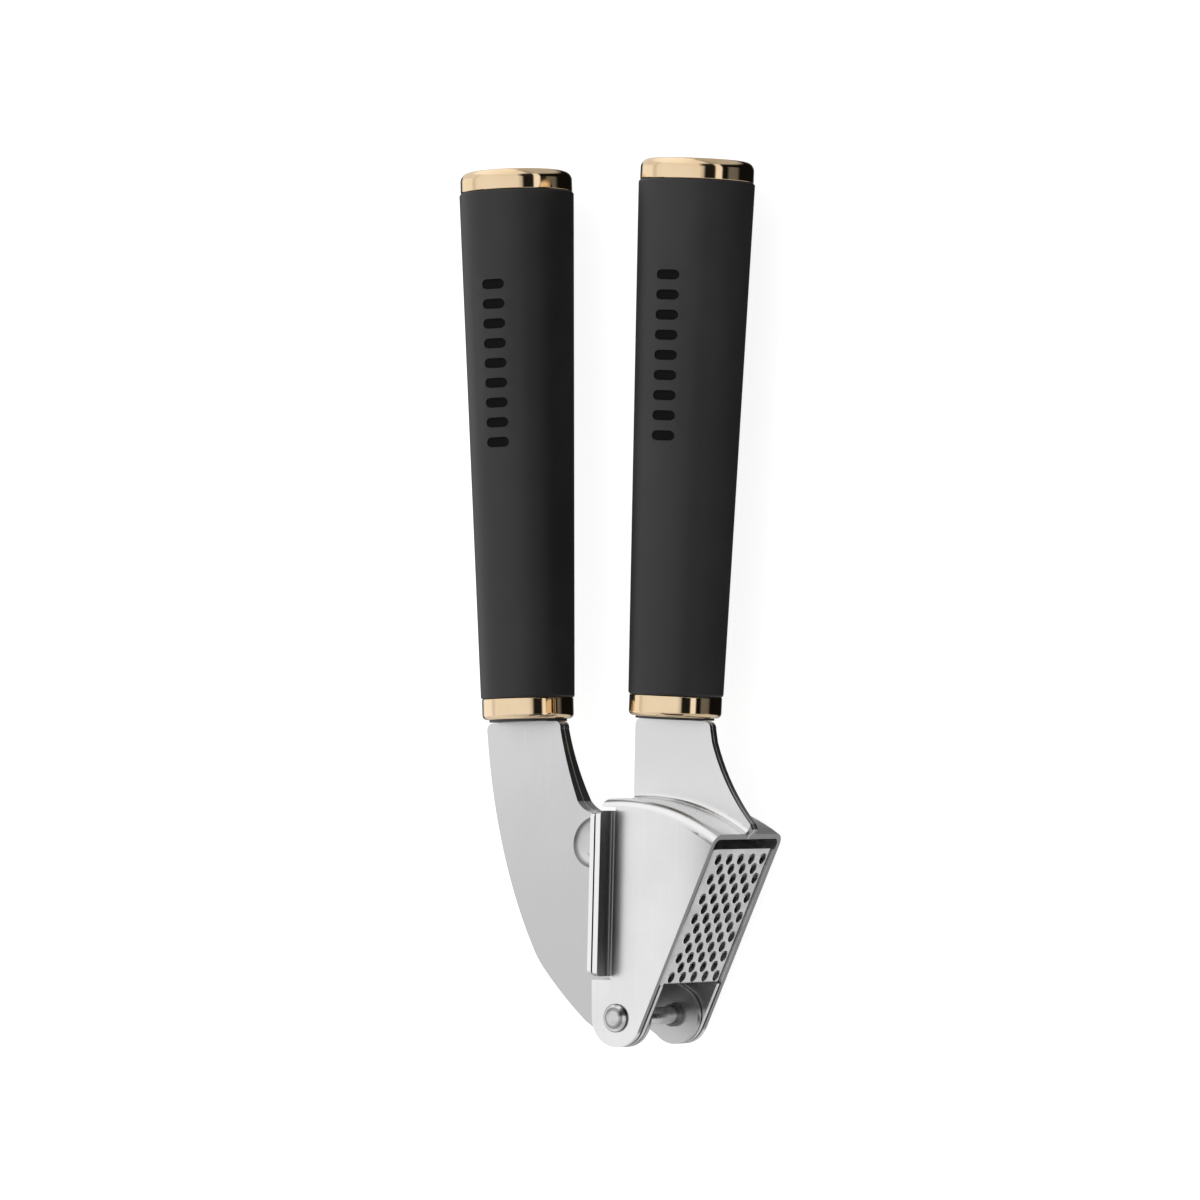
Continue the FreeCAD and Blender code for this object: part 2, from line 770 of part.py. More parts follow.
def grip(side):
    """Soft-touch sleeve, slightly wider towards its end, with a row of debossed bars."""
    bore = size("grip_bore")
    low = size("grip_low")
    high = size("grip_high")
    foot = size("collar_length")
    top = foot + size("grip_length")
    body = turned(side, "grip", (bore, foot), [(low, foot), (high, top), (bore, top)])
    fillet(body, side + "_grip_ends", "sheet.collar_round / 2",
           lambda spot, length: math.hypot(spot.x, spot.y) > bore + 0.5
           and (near(spot.z, foot) or near(spot.z, top)))
    taper = math.degrees(math.atan((high - low) / (top - foot)))
    floor = low - foot * math.tan(math.radians(taper)) - size("mark_depth")
    turn = size("mark_turn")
    facing = Rotation(Vector(0, 1, 0), turn) * Rotation(Vector(1, 0, 0), -taper)
    inward = polar(-floor, turn)
    marks = sketch_on(body, "XZ_Plane", side + "_marks", "%f" % inward[0], facing)
    marks.setExpression("AttachmentOffset.Base.x", "%f" % inward[1])
    half_width = size("mark_width") / 2
    end = size("mark_height") / 2
    for number in range(int(size("mark_count"))):
        level = size("mark_first") + number * size("mark_pitch")
        outline(marks, (end - half_width, level - end), [
            (half_width - end, level - end),
            (half_width - end, level + end, half_width, level),
            (end - half_width, level + end),
            (end - half_width, level - end, -half_width, level),
        ])
    pocket(body, marks, "3 * sheet.mark_depth", side=-1)
    return body


def core(side, tang_half_thickness):
    """Moulded core inside the grip, slotted for the tang, with a thin lip below the collar."""
    bore = size("grip_bore")
    plug = size("collar_length") + size("grip_length") - size("plug_length")
    top = plug - size("core_gap")
    lip = -size("core_lip")
    body = turned(side, "core", (0, lip), [(bore, lip), (bore, top), (0, top)])
    slot = sketch_on(body, "XY_Plane", side + "_slot", "-sheet.core_lip")
    wide = size("tang_half")
    outline(slot, (-wide, -tang_half_thickness), [
        (wide, -tang_half_thickness),
        (wide, tang_half_thickness),
        (-wide, tang_half_thickness),
    ])
    pocket(body, slot, "sheet.tang_length + sheet.core_lip + sheet.core_gap", side=1)
    return body


def cap_plug(side):
    """Plug in the end of the grip that carries the end cap."""
    bore = size("grip_bore")
    foot = size("collar_length") + size("grip_length")
    wide = size("cap_radius") - size("cap_wall")
    top = foot + size("cap_length") - size("cap_wall")
    bottom = foot - size("plug_length")
    return turned(side, "cap_plug", (0, bottom), [(bore, bottom), (bore, foot), (wide, foot),
                                                  (wide, top - 1), (wide - 1, top), (0, top)])


def end_cap(side):
    """Gold cap over the plug."""
    foot = size("collar_length") + size("grip_length")
    wide = size("cap_radius")
    wall = size("cap_wall")
    top = foot + size("cap_length")
    inner = wide - wall
    body = turned(side, "end_cap", (inner, foot), [(wide, foot), (wide, top), (0, top), (0, top - wall),
                                                   (inner - 1, top - wall), (inner, top - wall - 1)])
    fillet(body, side + "_cap_round", "sheet.cap_round",
           lambda spot, length: near(spot.z, top) and near(math.hypot(spot.x, spot.y), wide, 0.2))
    fillet(body, side + "_cap_edge", "sheet.collar_round / 4",
           lambda spot, length: near(spot.z, foot) and near(math.hypot(spot.x, spot.y), wide, 0.2))
    return body


def handle(side, tang_half_thickness):
    """All the parts of one handle."""
    return [collar(side), grip(side), core(side, tang_half_thickness), cap_plug(side), end_cap(side)]


# ---------------------------------------------------------------- the press

parts = [
    housing_shell("housing_front_shell", 1),
    housing_shell("housing_rear_shell", -1),
    strainer_basket(),
    lever_shell("press_lever_front_shell", 1),
    lever_shell("press_lever_rear_shell", -1),
    lever_bush("lever_bush_front", 1),
    lever_bush("lever_bush_rear", -1),
    plunger_foot(),
    plunger_hanger(),
    pivot_pin(),
    pivot_rivet_head(),
]
parts += handle("fixed", size("gauge"))
parts += handle("press", size("neck_half"))
doc.recompute()

for item in doc.Objects:
    if "Invalid" in item.State or "Error" in item.State:
        raise ValueError("%s failed: %s" % (item.Name, item.State))
for part in parts:
    if part.Shape.isNull() or not part.Shape.isValid():
        raise ValueError("%s has no valid shape" % part.Label)
    if len(part.Shape.Solids) != 1:
        raise ValueError("%s is %d solids" % (part.Label, len(part.Shape.Solids)))

os.makedirs("parts", exist_ok=True)
whole = FreeCAD.BoundBox()
for part in parts:
    part.Shape.exportStep("parts/%s.step" % part.Label)
    whole.add(part.Shape.BoundBox)
    print("%-26s %9.1f mm3" % (part.Label, part.Shape.Volume))
print("middle %.3f %.3f, lowest %.3f, size %.2f %.2f %.2f" % (
    whole.Center.x, whole.Center.y, whole.ZMin, whole.XLength, whole.YLength, whole.ZLength))
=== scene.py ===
"""Finishes, small details, light and camera for the hand garlic press.

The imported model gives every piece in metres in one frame: X to the fixed lever's side, Y along the
handles away from the pivot, Z along the pivot pin. The press lies on its side on a pale floor.
"""

import json
import logging
import math
from dataclasses import dataclass
from enum import Enum
from typing import Any, Iterable, Sequence

import bmesh
import bpy
from mathutils import Matrix, Vector

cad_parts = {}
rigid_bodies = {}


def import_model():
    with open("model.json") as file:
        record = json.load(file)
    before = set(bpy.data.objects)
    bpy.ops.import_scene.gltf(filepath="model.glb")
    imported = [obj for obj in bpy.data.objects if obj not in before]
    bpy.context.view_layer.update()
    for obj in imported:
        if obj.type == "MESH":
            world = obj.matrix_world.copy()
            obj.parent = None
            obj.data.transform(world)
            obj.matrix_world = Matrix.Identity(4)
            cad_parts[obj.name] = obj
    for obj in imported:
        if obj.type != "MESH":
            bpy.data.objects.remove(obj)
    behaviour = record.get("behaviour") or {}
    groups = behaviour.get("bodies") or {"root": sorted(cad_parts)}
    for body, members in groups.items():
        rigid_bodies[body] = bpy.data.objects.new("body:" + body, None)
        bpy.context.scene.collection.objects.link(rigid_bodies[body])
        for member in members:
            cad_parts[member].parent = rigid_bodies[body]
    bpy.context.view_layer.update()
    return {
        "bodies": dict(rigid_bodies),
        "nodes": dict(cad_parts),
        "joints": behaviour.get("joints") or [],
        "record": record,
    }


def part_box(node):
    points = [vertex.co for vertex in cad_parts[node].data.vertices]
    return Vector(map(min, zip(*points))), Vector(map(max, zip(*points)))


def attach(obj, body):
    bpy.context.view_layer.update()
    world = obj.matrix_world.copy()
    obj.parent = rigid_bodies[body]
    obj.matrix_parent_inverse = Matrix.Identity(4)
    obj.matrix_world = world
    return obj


LOG = logging.getLogger("garlic_press")
MM = 0.001
MID_HEIGHT = 17.75 * MM

Colour = tuple[float, float, float, float]
Triple = tuple[float, float, float]
Stops = tuple[tuple[float, float], ...]

WHITE: Colour = (1.0, 1.0, 1.0, 1.0)
SHADOW: Colour = (0.02, 0.02, 0.02, 1.0)
# The weld's light colour is a painted highlight along the seam.
WELD_HIGHLIGHT: Colour = (0.9, 0.9, 0.9, 1.0)

# How softly a sheared edge, the painted shade by the tab's bend, the painted shade inside the basket and a
# painted shade ring begin and end.
EDGE_FADE = 0.06 * MM
FOLD_SHADE_FADE = 0.4 * MM
HOLLOW_SHADE_FADE = 0.2 * MM
SHADE_RING_FADE = 0.1 * MM

# How far a ring's levels reach, as a share of its radius, and a weld's half widths and height.
RING_REACH = 1.25
WELD_CREST = 0.05 * MM
WELD_FOOT = 0.34 * MM
WELD_HEIGHT = 0.11 * MM

# The angle above which an edge of a made piece stays sharp.
CREASE = math.radians(40)


class Body(Enum):
    """The four bodies that move against each other."""

    HOUSING = "housing"
    STRAINER = "strainer"
    LEVER = "press_lever"
    PLUNGER = "plunger"


class Grain(Enum):
    """The way a finish is brushed: how many marks a metre along X, Y and Z."""

    ALONG_HANDLES = (1500.0, 46.0, 1500.0)
    ALONG_PIN = (1400.0, 1400.0, 60.0)
    EVEN = (900.0, 900.0, 900.0)


class Wire:
    """One output socket of a node tree; arithmetic on it adds the nodes that work it out."""

    def __init__(self, bench: "Bench", socket: bpy.types.NodeSocket) -> None:
        """Hold a socket.

        Args:
            bench: The node bench the socket belongs to.
            socket: The output socket.
        """
        self.bench = bench
        self.socket = socket

    def _with(self, operation: str, other: Any, swapped: bool = False) -> "Wire":
        """Join this wire and another value by one operation.

        Args:
            operation: The operation's name, shared by Math and Vector Math.
            other: A wire, a number or a triple.
            swapped: True if the other value comes first.

        Returns:
            The wire of the result.
        """
        sides = (other, self) if swapped else (self, other)
        wide = any(self.bench.is_wide(side) for side in sides)
        kind = "ShaderNodeVectorMath" if wide else "ShaderNodeMath"
        if wide:
            sides = tuple((side,) * 3 if isinstance(side, (int, float)) else side for side in sides)
        return self.bench.node(kind, {"operation": operation}, dict(enumerate(sides)))

    def __add__(self, other: Any) -> "Wire":
        """Return self + other."""
        return self._with("ADD", other)

    def __radd__(self, other: Any) -> "Wire":
        """Return other + self."""
        return self._with("ADD", other, swapped=True)

    def __sub__(self, other: Any) -> "Wire":
        """Return self - other."""
        return self._with("SUBTRACT", other)

    def __rsub__(self, other: Any) -> "Wire":
        """Return other - self."""
        return self._with("SUBTRACT", other, swapped=True)

    def __mul__(self, other: Any) -> "Wire":
        """Return self * other."""
        return self._with("MULTIPLY", other)

    def __rmul__(self, other: Any) -> "Wire":
        """Return other * self."""
        return self._with("MULTIPLY", other, swapped=True)

    def __truediv__(self, other: Any) -> "Wire":
        """Return self / other."""
        return self._with("DIVIDE", other)


class Bench:
    """Builds one node tree."""

    def __init__(self, tree: bpy.types.NodeTree) -> None:
        """Start from an empty tree.

        Args:
            tree: The material's or the world's node tree.
        """
        self.tree = tree
        tree.nodes.clear()

    def is_wide(self, value: Any) -> bool:
        """Return True if a value is a vector: a triple or a vector socket's wire."""
        return isinstance(value, tuple) or (isinstance(value, Wire) and value.socket.type == "VECTOR")

    def add(self, kind: str, settings: dict[str, Any], sockets: dict[Any, Any]) -> bpy.types.Node:
        """Add one node.

        Args:
            kind: The node's type.
            settings: The node's own settings, set first; "stops" fills a colour ramp.
            sockets: Input name or number to its value or its wire.

        Returns:
            The node.
        """
        made = self.tree.nodes.new(kind)
        for name, value in settings.items():
            if name == "stops":
                self._fill_ramp(made.color_ramp, value)
            else:
                setattr(made, name, value)
        for name, value in sockets.items():
            if isinstance(value, Wire):
                self.tree.links.new(value.socket, made.inputs[name])
            else:
                made.inputs[name].default_value = value
        return made

    def node(
        self,
        kind: str,
        settings: dict[str, Any] | None = None,
        sockets: dict[Any, Any] | None = None,
        output: Any = 0,
    ) -> Wire:
        """Add one node and return one of its outputs.

        Args:
            kind: The node's type.
            settings: The node's own settings.
            sockets: Input name or number to its value or its wire.
            output: The output's name or number.

        Returns:
            The wire of that output.
        """
        return Wire(self, self.add(kind, settings or {}, sockets or {}).outputs[output])

    def _fill_ramp(self, ramp: bpy.types.ColorRamp, stops: Sequence[tuple[float, float]]) -> None:
        """Give a ramp its grey stops.

        Args:
            ramp: The ramp.
            stops: Position and brightness of each stop, in order.
        """
        while len(ramp.elements) > 1:
            ramp.elements.remove(ramp.elements[-1])
        for number, (position, level) in enumerate(stops):
            stop = ramp.elements[0] if number == 0 else ramp.elements.new(position)
            stop.position = position
            stop.color = (level, level, level, 1.0)

    def noise(self, place: Wire, density: float | Triple, detail: float = 2.0, rough: float = 0.5) -> Wire:
        """Return a noise from 0 to 1.

        Args:
            place: The wire of the position.
            density: Marks a metre, as one number or one for each axis.
            detail: How many finer layers it has.
            rough: How strong the finer layers are.

        Returns:
            The noise's factor.
        """
        sockets = {"Vector": place * density, "Scale": 1.0, "Detail": detail, "Roughness": rough}
        return self.node("ShaderNodeTexNoise", {"noise_dimensions": "3D"}, sockets, "Fac")

    def reach(self, place: Wire, line: Triple) -> Wire:
        """Return how far a position lies along a line."""
        return self.node("ShaderNodeVectorMath", {"operation": "DOT_PRODUCT"}, {0: place, 1: line}, "Value")

    def away(self, place: Wire) -> Wire:
        """Return how far a position lies from the Z axis."""
        flat = place * (1.0, 1.0, 0.0)
        return self.node("ShaderNodeVectorMath", {"operation": "LENGTH"}, {0: flat}, "Value")

    def part(self, place: Wire, axis: str) -> Wire:
        """Return the X, Y or Z of a position."""
        return self.node("ShaderNodeSeparateXYZ", {}, {0: place}, axis)

    def unsigned(self, value: Wire) -> Wire:
        """Return a value without its sign."""
        return self.node("ShaderNodeMath", {"operation": "ABSOLUTE"}, {0: value})

    def window(self, value: Wire, low: float, high: float) -> Wire:
        """Return a value stretched so that low gives 0 and high gives 1, smoothly, and held there.

        Args:
            value: The wire to stretch.
            low: The value that gives 0.
            high: The value that gives 1.

        Returns:
            The stretched wire.
        """
        settings = {"interpolation_type": "SMOOTHSTEP"}
        return self.node("ShaderNodeMapRange", settings, {"Value": value, "From Min": low, "From Max": high})

    def tint(self, share: Wire, first: Any, second: Any) -> Wire:
        """Mix two colours.

        Args:
            share: How much of the second colour shows.
            first: A colour or its wire.
            second: A colour or its wire.

        Returns:
            The mixed colour.
        """
        settings = {"data_type": "RGBA", "clamp_factor": True}
        return self.node("ShaderNodeMix", settings, {0: share, 6: first, 7: second}, 2)

    def bump(self, height: Wire, depth: float, under: Wire | None = None) -> Wire:
        """Return a normal raised by a height.

        Args:
            height: The height from 0 to 1.
            depth: What a height of 1 stands for, in metres.
            under: A normal that it is laid over.

        Returns:
            The normal.
        """
        sockets: dict[Any, Any] = {"Height": height, "Distance": depth, "Strength": 1.0}
        if under is not None:
            sockets["Normal"] = under
        return self.node("ShaderNodeBump", {}, sockets, "Normal")


def open_material(name: str) -> tuple[bpy.types.Material, Bench]:
    """Make an empty material.

    Args:
        name: The material's name.

    Returns:
        The material and its bench.
    """
    material = bpy.data.materials.new(name)
    material.use_nodes = True
    return material, Bench(material.node_tree)


def close_material(bench: Bench, sockets: dict[str, Any]) -> None:
    """Add the surface shader and the output.

    Args:
        bench: The material's bench.
        sockets: Shader socket to its value or wire.
    """
    shader = bench.node("ShaderNodeBsdfPrincipled", {}, sockets)
    bench.add("ShaderNodeOutputMaterial", {}, {"Surface": shader})


@dataclass(frozen=True)
class CutEdge:
    """Where a sheet's sheared edge lies, so that it can be painted brighter, as a painted highlight, or
    darker, as painted shade, than the brushed faces, with a roughness of its own.
    """

    line: Triple
    start: float
    tone: Colour
    roughness: float

    def mask(self, bench: Bench, place: Wire) -> Wire:
        """Return 1 on the edge and 0 off it.

        Args:
            bench: The material's bench.
            place: The wire of the position in metres.

        Returns:
            The mask.
        """
        return bench.window(bench.reach(place, self.line), self.start, self.start + EDGE_FADE)


@dataclass(frozen=True)
class FoldShade:
    """Painted shade beside the tab's bend: the tab's face and the cheek beside it are painted darker.

    Across points away from the bend and along runs beside it, both from the pivot; spans are in metres.
    """

    pivot: Triple
    across: Triple
    across_span: tuple[float, float]
    along: Triple
    along_span: tuple[float, float]
    tone: Colour
    strength: float = 0.85

    def mask(self, bench: Bench, place: Wire) -> Wire:
        """Return how much painted shade each spot gets.

        Args:
            bench: The material's bench.
            place: The wire of the position in metres.

        Returns:
            The mask, at its full strength beside the bend.
        """
        local = place - self.pivot
        reach = bench.reach(local, self.across)
        run = bench.reach(local, self.along)
        near, far = self.across_span
        low, high = self.along_span
        ends = bench.window(run, low - FOLD_SHADE_FADE, low) * (1.0 - bench.window(run, high, high + FOLD_SHADE_FADE))
        return (1.0 - bench.window(reach, near, far)) * ends * self.strength


@dataclass(frozen=True)
class HollowShade:
    """Painted shade on the inside of the basket: the walls behind its perforated face are painted darker;
    spans are in metres.
    """

    pivot: Triple
    front: Triple
    front_reach: float
    half: float
    rounds: tuple[float, float]
    tone: Colour
    strength: float = 0.9

    def mask(self, bench: Bench, place: Wire) -> Wire:
        """Return 1 on the inside walls and 0 on the outside.

        Args:
            bench: The material's bench.
            place: The wire of the position in metres.

        Returns:
            The mask at its full strength.
        """
        local = place - self.pivot
        reach = bench.reach(local, self.front)
        away = bench.away(local)
        off = bench.unsigned(bench.part(local, "Z"))
        low, high = self.rounds
        behind = 1.0 - bench.window(reach, self.front_reach - HOLLOW_SHADE_FADE, self.front_reach)
        between = 1.0 - bench.window(off, self.half - HOLLOW_SHADE_FADE, self.half)
        above = bench.window(away, low, low + HOLLOW_SHADE_FADE)
        walls = above * (1.0 - bench.window(away, high - HOLLOW_SHADE_FADE, high))
        return behind * between * walls * self.strength


@dataclass(frozen=True)
class ShadeRing:
    """Painted shade in rings about a line along the pin: dark rings round the lever's pressed dish
    and the pin's riveted heads, standing in for their shade and dark reflections.

    Levels give the share of the circle's radius and how bright the steel stays there.
    """

    centre: tuple[float, float]
    radius: float
    levels: Stops
    beyond: float = 0.0

    def shade(self, bench: Bench, place: Wire, tone: Wire) -> Wire:
        """Return a tone with the painted shade rings over it.

        Args:
            bench: The material's bench.
            place: The wire of the position in metres.
            tone: The tone's wire.

        Returns:
            The shaded tone.
        """
        away = bench.away(place - (*self.centre, 0.0)) / (RING_REACH * self.radius)
        stops = [(share / RING_REACH, level) for share, level in self.levels]
        level = bench.node("ShaderNodeValToRGB", {"stops": stops}, {0: away})
        off = bench.unsigned(bench.part(place, "Z") - MID_HEIGHT)
        painted_rings = bench.tint(level, SHADOW, tone)
        return bench.tint(bench.window(off, self.beyond - SHADE_RING_FADE, self.beyond), tone, painted_rings)


@dataclass(frozen=True)
class BrushedSteel:
    """Satin stainless sheet: fine lines one way, faint cloudy marks, stray scratches and sheared edges with
    painted highlight or painted shade.

    A seam is a thin weld line where two pressed halves meet, painted lighter as a painted highlight, and the
    tone can fall off towards one end along Y as painted shade.
    """

    name: str
    grain: Grain
    light: Colour = (0.80, 0.80, 0.80, 1.0)
    dark: Colour = (0.73, 0.73, 0.735, 1.0)
    roughness: float = 0.27
    line_depth: float = 0.9e-6
    cloud_density: float = 60.0
    edges: tuple[CutEdge, ...] = ()
    painted_shade: FoldShade | HollowShade | None = None
    seam_height: float | None = None
    shade_drift: tuple[float, float, Colour] | None = None
    shade_ring: ShadeRing | None = None
    finer: float = 2.6
    cloud_span: tuple[float, float] = (0.34, 0.64)
    stray_density: Triple = (420.0, 2300.0, 700.0)
    stray_span: tuple[float, float] = (0.72, 0.80)

    def build(self) -> bpy.types.Material:
        """Return the finish as a material."""
        material, bench = open_material(self.name)
        place = bench.node("ShaderNodeTexCoord", output="Object")
        lines = bench.noise(place, self.grain.value, 3.0, 0.6)
        fine = bench.noise(place, tuple(self.finer * part for part in self.grain.value), 2.0)
        clouds = bench.noise(place, self.cloud_density, 4.0, 0.55)
        stray = bench.window(bench.noise(place, self.stray_density, 1.0), *self.stray_span)
        share = bench.window(clouds * 0.75 + lines * 0.25, *self.cloud_span)
        tone = bench.tint(share, self.dark, self.light)
        roughness = self.roughness - 0.05 + lines * 0.06 + clouds * 0.08 + stray * 0.05
        normal = bench.bump(fine, 0.4 * self.line_depth, bench.bump(lines, self.line_depth))
        # Painted shade: the tone darkens towards one end along Y.
        if self.shade_drift is not None:
            start, end, shade = self.shade_drift
            tone = bench.tint(bench.window(bench.part(place, "Y"), end, start), shade, tone)
        # Painted shade: dark rings round the lever's dimple.
        if self.shade_ring is not None:
            tone = self.shade_ring.shade(bench, place, tone)
        # Painted shade: the tab's bend on the housing and the basket's inside on the strainer are painted
        # darker.
        if self.painted_shade is not None:
            tone = bench.tint(self.painted_shade.mask(bench, place), tone, self.painted_shade.tone)
        # Sheared edges: painted highlight on the tab lips, painted shade on the housing's front, each with
        # its own roughness.
        for edge in self.edges:
            share = edge.mask(bench, place)
            tone = bench.tint(share, tone, edge.tone)
            roughness = roughness * (1.0 - share) + share * edge.roughness
        # Weld bead along the seam: a real bump, painted lighter as a painted highlight.
        if self.seam_height is not None:
            off = bench.unsigned(bench.part(place, "Z") - self.seam_height)
            bead = 1.0 - bench.window(off, WELD_CREST, WELD_FOOT)
            normal = bench.bump(bead, WELD_HEIGHT, normal)
            tone = bench.tint(bead, tone, WELD_HIGHLIGHT)
        close_material(bench, {"Base Color": tone, "Metallic": 1.0, "Roughness": roughness, "Normal": normal})
        return material


@dataclass(frozen=True)
class PolishedSteel:
    """Tumbled, nearly bright steel of the pin and its heads."""

    name: str
    bright: Colour = (0.82, 0.82, 0.82, 1.0)
    dull: Colour = (0.66, 0.66, 0.67, 1.0)
    roughness: float = 0.13
    shade_ring: ShadeRing | None = None
    dent_density: float = 620.0
    dent_depth: float = 3.0e-6
    film_density: float = 240.0

    def build(self) -> bpy.types.Material:
        """Return the finish as a material."""
        material, bench = open_material(self.name)
        place = bench.node("ShaderNodeTexCoord", output="Object")
        dents = bench.noise(place, self.dent_density, 3.0, 0.6)
        film = bench.window(bench.noise(place, self.film_density, 2.0), 0.35, 0.7)
        tone = bench.tint(film, self.dull, self.bright)
        # Painted shade and painted reflection: dark rings round the pin's heads.
        if self.shade_ring is not None:
            tone = self.shade_ring.shade(bench, place, tone)
        close_material(
            bench,
            {
                "Base Color": tone,
                "Metallic": 1.0,
                "Roughness": self.roughness + dents * 0.06 + (1.0 - film) * 0.05,
                "Normal": bench.bump(dents, self.dent_depth),
            },
        )
        return material


@dataclass(frozen=True)
class ChampagneGold:
    """Polished plating of the collars and end caps, with hairlines round it and faint handling haze."""

    name: str
    gold: Colour = (0.90, 0.705, 0.475, 1.0)
    deep: Colour = (0.84, 0.62, 0.385, 1.0)
    roughness: float = 0.045
    haze_density: float = 95.0
    rub_density: float = 900.0
    hairline_density: Triple = (160.0, 5200.0, 160.0)
    hairline_depth: float = 2.0e-7

    def build(self) -> bpy.types.Material:
        """Return the finish as a material."""
        material, bench = open_material(self.name)
        place = bench.node("ShaderNodeTexCoord", output="Object")
        haze = bench.window(bench.noise(place, self.haze_density, 3.0), 0.3, 0.75)
        hairlines = bench.noise(place, self.hairline_density, 2.0)
        rubbed = bench.window(bench.noise(place, self.rub_density, 2.0), 0.66, 0.8)
        close_material(
            bench,
            {
                "Base Color": bench.tint(haze, self.gold, self.deep),
                "Metallic": 1.0,
                "Roughness": self.roughness + haze * 0.03 + hairlines * 0.02 + rubbed * 0.05,
                "Normal": bench.bump(hairlines, self.hairline_depth),
            },
        )
        return material


@dataclass(frozen=True)
class SoftTouch:
    """Matte black soft-touch coating: a fine even grain, with paler dust and slightly rubbed patches."""

    name: str
    black: Colour = (0.0075, 0.0075, 0.0077, 1.0)
    rubbed: Colour = (0.0135, 0.0135, 0.0137, 1.0)
    roughness: float = 0.47
    level: float = 0.56
    grain_density: float = 4200.0
    grain_depth: float = 9.0e-6
    patch_density: Triple = (60.0, 38.0, 60.0)
    dust_density: float = 2300.0

    def build(self) -> bpy.types.Material:
        """Return the finish as a material."""
        material, bench = open_material(self.name)
        place = bench.node("ShaderNodeTexCoord", output="Object")
        grain = bench.noise(place, self.grain_density, 2.0, 0.6)
        patches = bench.noise(place, self.patch_density, 4.0, 0.6)
        dust = bench.window(bench.noise(place, self.dust_density, 1.0), 0.74, 0.82)
        shade = bench.window(patches + dust * 0.35, 0.35, 0.8)
        close_material(
            bench,
            {
                "Base Color": bench.tint(shade, self.black, self.rubbed),
                "Roughness": self.roughness + patches * 0.08 + grain * 0.04,
                "Specular IOR Level": self.level,
                "Normal": bench.bump(grain, self.grain_depth),
            },
        )
        return material


@dataclass(frozen=True)
class FloorPaper:
    """Pale even paper that the press lies on."""

    name: str
    pale: Colour = (0.40, 0.40, 0.40, 1.0)
    shade: Colour = (0.38, 0.38, 0.382, 1.0)
    glow: float = 0.85
    fibre_density: float = 700.0
    fibre_depth: float = 4.0e-6

    def build(self) -> bpy.types.Material:
        """Return the finish as a material."""
        material, bench = open_material(self.name)
        place = bench.node("ShaderNodeTexCoord", output="Object")
        fibres = bench.noise(place, self.fibre_density, 3.0)
        close_material(
            bench,
            {
                "Base Color": bench.tint(fibres, self.shade, self.pale),
                "Roughness": 0.9,
                "Emission Color": WHITE,
                "Emission Strength": self.glow,
                "Normal": bench.bump(fibres, self.fibre_depth),
            },
        )
        return material


@dataclass(frozen=True)
class PlainCard:
    """Even card of the studio: black to hold back a gleam, or glowing white behind everything."""

    name: str
    shade: Colour = (0.002, 0.002, 0.002, 1.0)
    glow: float = 0.0

    def build(self) -> bpy.types.Material:
        """Return the finish as a material."""
        material, bench = open_material(self.name)
        close_material(
            bench,
            {
                "Base Color": self.shade,
                "Roughness": 0.9,
                "Emission Color": WHITE,
                "Emission Strength": self.glow,
            },
        )
        return material


PIVOT = (10.258 * MM, -89.187 * MM, 17.75 * MM)
MOUTH_LEAN = math.radians(1.78)
# Painted shade: the tab's face and the cheek beside it are painted darker.
TAB_FOLD_SHADE = FoldShade(
    PIVOT,
    across=(math.cos(MOUTH_LEAN), -math.sin(MOUTH_LEAN), 0.0),
    across_span=(-1.75 * MM, -0.1 * MM),
    along=(math.sin(MOUTH_LEAN), math.cos(MOUTH_LEAN), 0.0),
    along_span=(9.0 * MM, 44.4 * MM),
    tone=(0.32, 0.32, 0.322, 1.0),
)
FRONT_LEAN = math.radians(25.5)
FRONT_LINE = (math.cos(FRONT_LEAN), -math.sin(FRONT_LEAN), 0.0)
FRONT_START = PIVOT[0] * FRONT_LINE[0] + PIVOT[1] * FRONT_LINE[1] + 6.24 * MM
SHORN_HIGHLIGHT = (0.95, 0.95, 0.95, 1.0)
EDGE_SHADE = (0.42, 0.42, 0.425, 1.0)
# Painted highlight: the outer edges of the tabs and lips are painted brighter.
TAB_EDGES = (
    CutEdge((0.0, 0.0, 1.0), 35.36 * MM, SHORN_HIGHLIGHT, 0.2),
    CutEdge((0.0, 0.0, -1.0), -0.14 * MM, SHORN_HIGHLIGHT, 0.2),
)
# Painted shade: the housing's front edge face is painted darker; its higher roughness stands for the sheared
# edge.
FRONT_EDGE = CutEdge(FRONT_LINE, FRONT_START, EDGE_SHADE, 0.42)
# Painted shade: the basket's walls behind its perforated face are painted darker.
BASKET_INSIDE_SHADE = HollowShade(
    PIVOT,
    FRONT_LINE,
    front_reach=5.5 * MM,
    half=10.95 * MM,
    rounds=(12.6 * MM, 43.0 * MM),
    tone=(0.26, 0.26, 0.262, 1.0),
)
# Painted shade: a dark ring round the lever's dimple, where its dish falls into shade.
DIMPLE_SHADE_RING = ShadeRing(
    (PIVOT[0] - 11.9 * MM, PIVOT[1] + 37.5 * MM),
    5.55 * MM,
    ((0.0, 1.0), (0.82, 1.0), (0.92, 0.42), (0.975, 0.30), (1.02, 1.0)),
)
